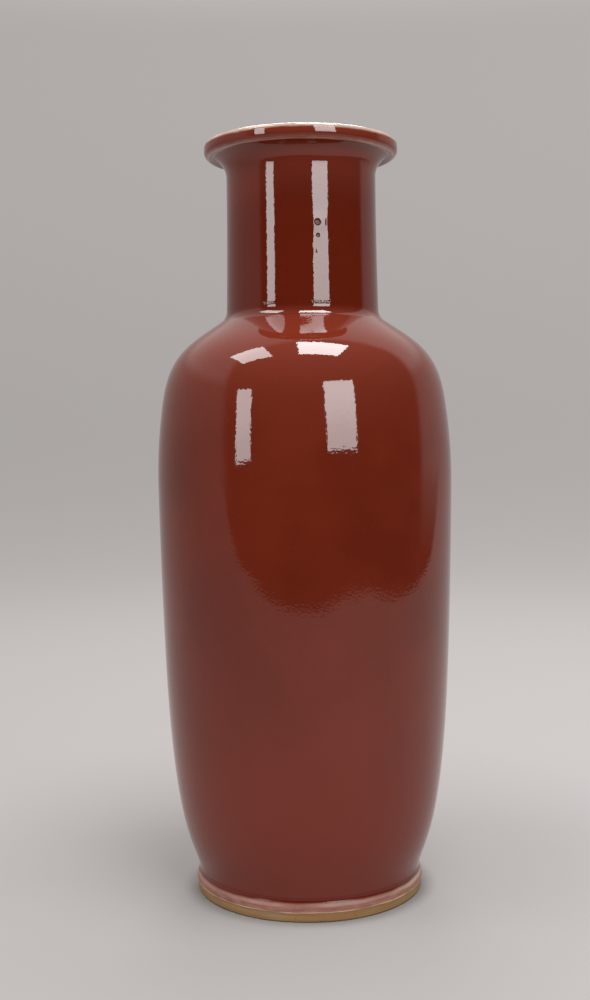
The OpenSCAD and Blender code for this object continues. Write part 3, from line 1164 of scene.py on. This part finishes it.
@dataclass(frozen=True)
class StudioPaper(Finish):
    """Pale paper floor that runs up into an evenly glowing backdrop, its glow painted light, with a dim room
    on the camera's side.
    """

    name: str = "studio_paper"
    floor: Colour = (0.27, 0.26, 0.254)
    wall: Colour = srgb(176, 171, 169)
    room: Colour = (0.052, 0.049, 0.047)
    # How much brighter the room grows overhead, and from what rise of the direction on
    room_rise: float = 6.0
    room_level: float = 0.2
    # The share of painted glow, standing in for fill light, that the lit floor has at the vase, and how that
    # grows to the right
    base_glow: float = 0.3
    base_right: float = 0.08
    # The paper's front edges: a point on each and the direction from it into the paper
    edges: tuple[tuple[Span, Span], ...] = (
        ((0.0, -0.99), (0.0, 1.0)),
        ((0.4, -1.1), (-0.53, 0.848)),
        ((0.88, -0.8), (-0.9, 0.437)),
    )
    # The middle of the pale side of the room, and how far round from it the pale side reaches
    pale_side: tuple[float, float, float] = (-0.326, 0.946, -0.25)
    pale_limit: float = -0.156
    fade: float = 0.08
    # The height on the vase that the room is seen from
    middle: float = 0.34
    # The pale side brightens overhead, and a little up the wall, between these rises of the direction
    overhead: Span = (0.33, 0.5)
    overhead_gain: float = 2.0
    low_wall: Span = (-0.1, 0.3)
    low_levels: Span = (0.95, 1.03)
    # It also brightens towards the right, and on the floor between these distances from the vase
    right_gain: float = 0.1
    near_gain: float = 0.5
    near: Span = (0.35, 2.6)
    # Distances between which the lit floor passes into the glow, the glow fades under the foot, and
    # the paper passes into the pale side
    glow_rise: Span = (0.07, 0.4)
    contact: Span = (0.0685, 0.08)
    far: Span = (1.6, 2.6)
    fibre: Cloud = Cloud(0.3, 2.0, 31.0)
    fibre_levels: Span = (0.97, 1.03)
    roughness: float = 0.9

    def pale_share(self, sketch: NodeSketch, direction: Fill) -> Socket:
        """Gives how pale the room is in a direction from the vase."""
        along = sketch.vector("DOT_PRODUCT", direction, self.pale_side, output=1)
        return sketch.rise(along, self.pale_limit - self.fade, self.pale_limit + self.fade)

    def pale_glow(self, sketch: NodeSketch, direction: Fill) -> Socket:
        """Gives the light of the pale side.

        Args:
            sketch: The tree's writer.
            direction: The direction from the vase.

        Returns:
            The light's colour.
        """
        right, _, up = sketch.parts(direction)
        overhead = sketch.rise(up, *self.overhead, 1.0, self.overhead_gain)
        wall = sketch.rise(up, *self.low_wall, *self.low_levels)
        sideways = sketch.math("MULTIPLY_ADD", right, self.right_gain, wall)
        return sketch.scaled(self.wall, sketch.math("MULTIPLY", overhead, sideways))

    def room_glow(self, sketch: NodeSketch, direction: Fill) -> Socket:
        """Gives the light of the dim side.

        Args:
            sketch: The tree's writer.
            direction: The direction from the vase.

        Returns:
            The light's colour.
        """
        above = sketch.math("SUBTRACT", sketch.parts(direction)[2], self.room_level)
        gain = sketch.math("MULTIPLY_ADD", sketch.math("MAXIMUM", above, 0.0), self.room_rise, 1.0)
        return sketch.scaled(self.room, gain)

    def glow(self, sketch: NodeSketch, direction: Fill) -> Socket:
        """Gives the light of the whole room in a direction from the vase."""
        pale = self.pale_share(sketch, direction)
        return sketch.mix(pale, self.room_glow(sketch, direction), self.pale_glow(sketch, direction))

    def paper_share(self, sketch: NodeSketch, place: Fill) -> Socket:
        """Tells the paper from the room in front of it.

        Args:
            sketch: The tree's writer.
            place: The point on the floor.

        Returns:
            The share, 1 on the paper and 0 beyond its front edges.
        """
        share = 1.0
        for (x, y), inward in self.edges:
            from_edge = sketch.vector("SUBTRACT", place, (x, y, 0.0))
            inside = sketch.vector("DOT_PRODUCT", from_edge, (*inward, 0.0), output=1)
            share = sketch.math("MULTIPLY", share, sketch.rise(inside, -self.fade / 2, self.fade / 2))
        return share

    def write(self, sketch: NodeSketch, shader: bpy.types.Node) -> None:
        """Writes the lamp-lit floor under a painted glow that grows away from the vase and, further out, the
        painted glow of the evenly glowing backdrop.

        Args:
            sketch: The tree's writer.
            shader: The shader that they lead to.
        """
        place = sketch.place()
        away = sketch.radius(place)
        right = sketch.math("DIVIDE", sketch.parts(place)[0], sketch.math("MAXIMUM", away, self.glow_rise[0]))
        base = sketch.math("MULTIPLY_ADD", right, self.base_right, self.base_glow)
        # The floor's glow is painted light that eases the lamps' shadows
        glow_rise = sketch.rise(away, *self.glow_rise, sketch.rise(away, *self.contact, 0.0, base), 1.0)
        fibre = self.fibre.share(sketch, place, *self.fibre_levels)
        paper = self.paper_share(sketch, place)
        floor = sketch.mix(paper, self.room, self.floor)
        floor = sketch.scaled(floor, sketch.math("MULTIPLY", fibre, sketch.math("SUBTRACT", 1.0, glow_rise)))
        direction = sketch.vector("NORMALIZE", sketch.vector("SUBTRACT", place, (0.0, 0.0, self.middle)))
        far = sketch.rise(away, *self.far)
        beyond = sketch.math("MULTIPLY", far, self.pale_share(sketch, direction))
        pale = sketch.math("MULTIPLY_ADD", paper, sketch.math("SUBTRACT", 1.0, far), beyond)
        near = sketch.rise(away, *self.near, 1.0 + self.near_gain, 1.0)
        bright = sketch.scaled(self.pale_glow(sketch, direction), near)
        glow = sketch.mix(pale, self.room_glow(sketch, direction), bright)
        sketch.fill_sockets(shader, {
            "Base Color": floor, "Roughness": self.roughness, "Specular IOR Level": 0.0,
            "Emission Color": glow, "Emission Strength": glow_rise,
        })


@dataclass(frozen=True)
class CoatPlan:
    """One glaze coat: the solid it stands for, its slot and how it comes out of the kiln."""

    node: str
    slot: Slot
    throw: Throw = Throw()
    spacing: Spacing = Spacing()
    # Corners below this height are melted round
    melted_below: float = 0.0
    pinholes: tuple[Pinhole, ...] = ()


@dataclass
class GlazeCoats:
    """The five glaze coats, turned from the sections of their solids."""

    wheel: Wheel
    ripple_depth: float = 0.07 * MM
    melt_radius: float = 0.28 * MM
    # Corners this far above a run edge are melted round too
    melt_reach: float = 1 * MM
    edge_wander: float = 0.45 * MM
    # How closely the small coats, the coat under the floor and the lining are divided
    close: Spacing = Spacing(step=1 * MM)
    medium: Spacing = Spacing(step=2 * MM)
    wide: Spacing = Spacing(step=4 * MM)
    # The neck's luted joint shows as a fine pitted line this far below the joint's lowest edge
    line_drop: float = 0.3 * MM
    # The flare begins this far below the lip's top, and the lip's lower edge is this far below it
    flare_drop: float = 20 * MM
    arris_drop: float = 8.6 * MM
    # The lip's top is this far in from its side
    crown: float = 2.4 * MM
    # Each with its place, and the radius and depth of its pit and of its swelling
    neck_pinholes: tuple[Pinhole, ...] = (
        Pinhole(397.0 * MM, 11.75, 2.2 * MM, 0.35 * MM, 8.0 * MM, 0.16 * MM),
        Pinhole(389.5 * MM, 12.0, 1.3 * MM, 0.2 * MM, 3.5 * MM, 0.03 * MM),
        Pinhole(380.0 * MM, 10.5, 0.6 * MM, 0.12 * MM, 1.8 * MM, 0.0),
    )

    def neck_line(self) -> float:
        """Gives the height of the line at the neck's root."""
        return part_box("neck_slip_joint")[0].z - self.line_drop

    def plans(self) -> tuple[CoatPlan, ...]:
        """Lists the coats with their places taken from the frame.

        Returns:
            The plan of each coat.
        """
        foot_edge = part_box("foot_glaze")[0].z
        base_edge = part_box("base_glaze")[0].z
        fired = Throw(ripple_depth=self.ripple_depth)
        run = Throw(ripple_depth=self.ripple_depth, edge_height=foot_edge, edge_wander=self.edge_wander)
        base_run = Throw(edge_height=base_edge, edge_wander=self.edge_wander)
        return (
            CoatPlan("red_glaze", Slot.RED, fired, pinholes=self.neck_pinholes),
            CoatPlan("rim_glaze", Slot.PALE, fired, self.close),
            CoatPlan("foot_glaze", Slot.PINK, run, self.close, foot_edge + self.melt_reach),
            CoatPlan("inner_glaze", Slot.CREAM, Throw(), self.wide),
            CoatPlan("base_glaze", Slot.CREAM, base_run, self.medium, base_edge + self.melt_reach),
        )

    def finish(self, plan: CoatPlan, section: Section) -> Finish:
        """Chooses a coat's finish.

        Args:
            plan: The coat's plan.
            section: Its section.

        Returns:
            The finish.
        """
        if plan.slot is Slot.CREAM:
            return CreamGlaze(name=f"{plan.node}_finish")
        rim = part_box("rim_glaze")[1]
        return OuterGlaze(
            name=f"{plan.node}_finish",
            waist=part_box("red_glaze")[0].z,
            foot_edge=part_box("foot_glaze")[0].z,
            neck_line=self.neck_line(),
            flare=rim.z - self.flare_drop,
            lip_arris=rim.z - self.arris_drop,
            lip_reach=rim.x,
            rim_edge=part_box("red_glaze")[1].z,
            mouth_reach=rim.x - self.crown if plan.slot is Slot.PALE else 0.0,
            flaws=tuple((flaw.centre(section), flaw) for flaw in plan.pinholes),
        )

    def build(self) -> None:
        """Turns, pits and dresses each coat and puts it in its solid's place."""
        for plan in self.plans():
            section = Section.of_node(plan.node)
            if plan.melted_below:
                section = section.eased(self.melt_radius, plan.melted_below)
            finish = self.finish(plan, section).material()
            piece = self.wheel.turn(f"{plan.node}_coat", section.resampled(plan.spacing), plan.throw, finish)
            for pinhole in plan.pinholes:
                pinhole.sink(piece.data, section)
            take_place(piece, plan.node)


@dataclass
class ClayBody:
    """The fired clay: the foot ring is turned again, the sections inside the coats stay as packed."""

    wheel: Wheel
    inner_nodes: tuple[str, ...] = ("lower_body", "upper_body", "neck")
    joint_nodes: tuple[str, ...] = ("foot_slip_joint", "body_slip_joint", "neck_slip_joint")
    ripple_depth: float = 0.12 * MM
    ripple_size: float = 11 * MM
    spacing: Spacing = Spacing(step=0.9 * MM)
    # The painted contact shadow on the foot's lowest edge starts this far in from its side
    contact_shade_edge: float = 1.2 * MM
    slip_tan: Colour = srgb(166, 134, 96)
    slip_toast: Colour = srgb(158, 122, 82)

    def build(self) -> None:
        """Turns the foot ring and gives the packed clay its finish."""
        throw = Throw(ripple_depth=self.ripple_depth, ripple_size=self.ripple_size)
        section = Section.of_node("foot_ring").resampled(self.spacing)
        clay = Stoneware(name="foot_clay", contact_shade_reach=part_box("foot_ring")[1].x - self.contact_shade_edge)
        ring = self.wheel.turn("foot_ring_clay", section, throw, clay.material())
        take_place(ring, "foot_ring")
        self.dress(self.inner_nodes, Stoneware(name="body_clay"))
        slip = Stoneware(name="fired_slip", tan=self.slip_tan, toast=self.slip_toast)
        self.dress(self.joint_nodes, slip)

    def dress(self, nodes: tuple[str, ...], finish: Finish) -> None:
        """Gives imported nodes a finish.

        Args:
            nodes: The nodes' names.
            finish: Their finish.
        """
        material = finish.material()
        for node in nodes:
            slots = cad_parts[node].data.materials
            slots.clear()
            slots.append(material)
            LOG.info("%s keeps its solid, in %s", node, finish.name)


def take_place(piece: bpy.types.Object, node: str) -> None:
    """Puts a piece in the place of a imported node.

    Args:
        piece: The finished piece.
        node: The node that it stands for.
    """
    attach(piece, "root")
    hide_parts(node)
    LOG.info("%s: %d faces for %s", piece.name, len(piece.data.polygons), node)


@dataclass(frozen=True)
class SoftBox:
    """An area lamp that faces a point on the vase."""

    name: str
    place: Vector
    width: float
    height: float
    radiance: float
    aim: Vector
    # The brightness of the lower edge as a share of the upper edge's
    low_share: float = 1.0
    # How far it leans to its own side, in degrees
    lean: float = 0.0
    # The shares of its height between which it dims
    dimming: Span = (0.1, 0.6)

    def shade(self, lamp: bpy.types.AreaLight) -> None:
        """Dims the lamp towards its lower edge.

        Args:
            lamp: The lamp.
        """
        sketch = NodeSketch.of(lamp)
        up = sketch.parts(sketch.add("ShaderNodeNewGeometry").outputs["Parametric"])[1]
        strength = sketch.rise(up, *self.dimming, self.low_share, 1.0)
        glow = sketch.add("ShaderNodeEmission", {"Strength": strength})
        sketch.add("ShaderNodeOutputLight", {"Surface": glow.outputs[0]})

    def light(self) -> None:
        """Hangs the lamp in the scene."""
        lamp = bpy.data.lights.new(self.name, "AREA")
        lamp.shape = "RECTANGLE"
        lamp.size, lamp.size_y = self.width, self.height
        lamp.energy = self.radiance * math.pi * self.width * self.height
        if self.low_share < 1:
            self.shade(lamp)
        obj = in_scene(self.name, lamp)
        facing = (self.aim - self.place).to_track_quat("-Z", "Y").to_matrix().to_4x4()
        leaning = Matrix.Rotation(math.radians(self.lean), 4, "Z")
        obj.matrix_world = Matrix.Translation(self.place) @ facing @ leaning


@dataclass
class Studio:
    """The paper floor, the backdrop, the soft boxes and the camera."""

    # The floor, the cove and the wall, and the steps up and round them
    floor_reach: float = 1.5
    cove_radius: float = 1.9
    wall_top: float = 4.5
    cove_steps: int = 18
    turns: int = 96
    # How far the soft boxes hang above the shoulder and stand from the body
    ceiling: float = 1.9
    shoulder_height: float = 0.34
    body_height: float = 0.28
    strip_distance: float = 2.2
    # The camera's place, and how far it is turned, in degrees
    camera_distance: float = 0.77106
    camera_height: float = 0.27978
    camera_pitch: float = 3.2195
    camera_yaw: float = 0.452
    camera_roll: float = 0.7611
    # Focal length in pixels of a picture 1000 pixels tall, and the sensor's long side
    focal_pixels: float = 1265.46
    picture_height: float = 1000.0
    sensor: float = 36.0

    def build(self) -> None:
        """Makes the stage, the lamps, the world and the camera."""
        self.stage()
        for lamp in self.lamps():
            lamp.light()
        self.world()
        self.camera()
        bpy.context.scene.view_settings.view_transform = "Standard"

    def stage(self) -> None:
        """Makes the floor that runs up a cove into the wall all round."""
        outline = [(0.0, 0.0)]
        for step in range(self.cove_steps + 1):
            turn = math.radians(90 * step / self.cove_steps)
            reach = self.floor_reach + self.cove_radius * math.sin(turn)
            outline.append((reach, self.cove_radius * (1 - math.cos(turn))))
        outline.append((self.floor_reach + self.cove_radius, self.wall_top))
        mesh = bpy.data.meshes.new("studio_floor")
        work = bmesh.new()
        verts = [work.verts.new((radius, 0.0, height)) for radius, height in outline]
        edges = [work.edges.new(pair) for pair in zip(verts, verts[1:])]
        bmesh.ops.spin(
            work, geom=verts + edges, axis=(0, 0, 1), cent=(0, 0, 0), angle=math.tau, steps=self.turns,
            use_merge=True,
        )
        bmesh.ops.remove_doubles(work, verts=work.verts, dist=TOUCH)
        bmesh.ops.recalc_face_normals(work, faces=work.faces)
        work.to_mesh(mesh)
        work.free()
        mesh.shade_smooth()
        mesh.materials.append(StudioPaper().material())
        floor = in_scene("studio_floor", mesh)

    def lamps(self) -> tuple[SoftBox, ...]:
        """Lists the upright soft boxes in front and the level ones overhead.

        Returns:
            The soft boxes.
        """
        body = Vector((0.0, 0.0, self.body_height))
        shoulder = Vector((0.0, 0.0, self.shoulder_height))
        up, out = self.ceiling, self.strip_distance

        def strip(
            name: str, azimuth: float, elevation: float, wide: float, tall: float, radiance: float,
            low_share: float, lean: float = 0.0,
        ) -> SoftBox:
            """Makes an upright soft box from the angles, in degrees, at which the body sees it.

            Args:
                name: Its name.
                azimuth: The angle of its middle from the front towards +X.
                elevation: The angle of its middle above the level.
                wide: The angle that its width covers.
                tall: The angle that its height covers.
                radiance: How bright it is.
                low_share: The brightness of its lower edge as a share of the upper edge's.
                lean: How far it leans to its own side.

            Returns:
                The soft box.
            """
            rise = math.radians(elevation)
            place = body + round_axis(out * math.cos(rise), azimuth, out * math.sin(rise))
            width, height = (2 * out * math.tan(math.radians(angle / 2)) for angle in (wide, tall))
            return SoftBox(name, place, width, height, radiance, body, low_share, lean)

        def overhead(name: str, x: float, y: float, wide: float, deep: float, radiance: float) -> SoftBox:
            """Makes a level soft box from its place and size as shares of the ceiling's height."""
            place = shoulder + Vector((x, y, 1.0)) * up
            return SoftBox(name, place, wide * up, deep * up, radiance, place - Vector((0, 0, 1)))

        return (
            strip("left_strip", -47.2, 12.1, 12.0, 19.7, 8.0, 0.85, 6.0),
            strip("right_strip", 28.5, 17.0, 23.0, 24.0, 9.8, 0.75),
            overhead("overhead_left", -0.645, -0.25, 0.53, 0.43, 9.5),
            overhead("overhead_right", 0.195, -0.235, 0.49, 0.46, 16.5),
            overhead("overhead_back", 0.0, 1.3, 0.6, 0.6, 14.0),
        )

    def world(self) -> None:
        """Makes the dim world, pale on the backdrop's side."""
        paper = StudioPaper()
        world = bpy.data.worlds.new("studio_world")
        bpy.context.scene.world = world
        sketch = NodeSketch.of(world)
        direction = sketch.add("ShaderNodeTexCoord").outputs["Generated"]
        back = sketch.add("ShaderNodeBackground", {"Color": paper.glow(sketch, direction)})
        sketch.add("ShaderNodeOutputWorld", {"Surface": back.outputs[0]})

    def camera(self) -> None:
        """Sets the camera at the height, tilt and distance that the vase is seen from."""
        data = bpy.data.cameras.new("camera")
        data.sensor_width = self.sensor
        data.lens = self.focal_pixels / self.picture_height * self.sensor
        obj = in_scene("camera", data)
        obj.matrix_world = (
            Matrix.Translation((0.0, -self.camera_distance, self.camera_height))
            @ Matrix.Rotation(math.radians(self.camera_yaw), 4, "Z")
            @ Matrix.Rotation(math.radians(90 - self.camera_pitch), 4, "X")
            @ Matrix.Rotation(math.radians(-self.camera_roll), 4, "Z")
        )
        bpy.context.scene.camera = obj


def main() -> None:
    """Builds the vase's pieces and the studio round it."""
    logging.basicConfig(level=logging.INFO, format="%(name)s: %(message)s")
    wheel = Wheel()
    ClayBody(wheel).build()
    GlazeCoats(wheel).build()
    Studio().build()


if __name__ == "__main__":
    main()
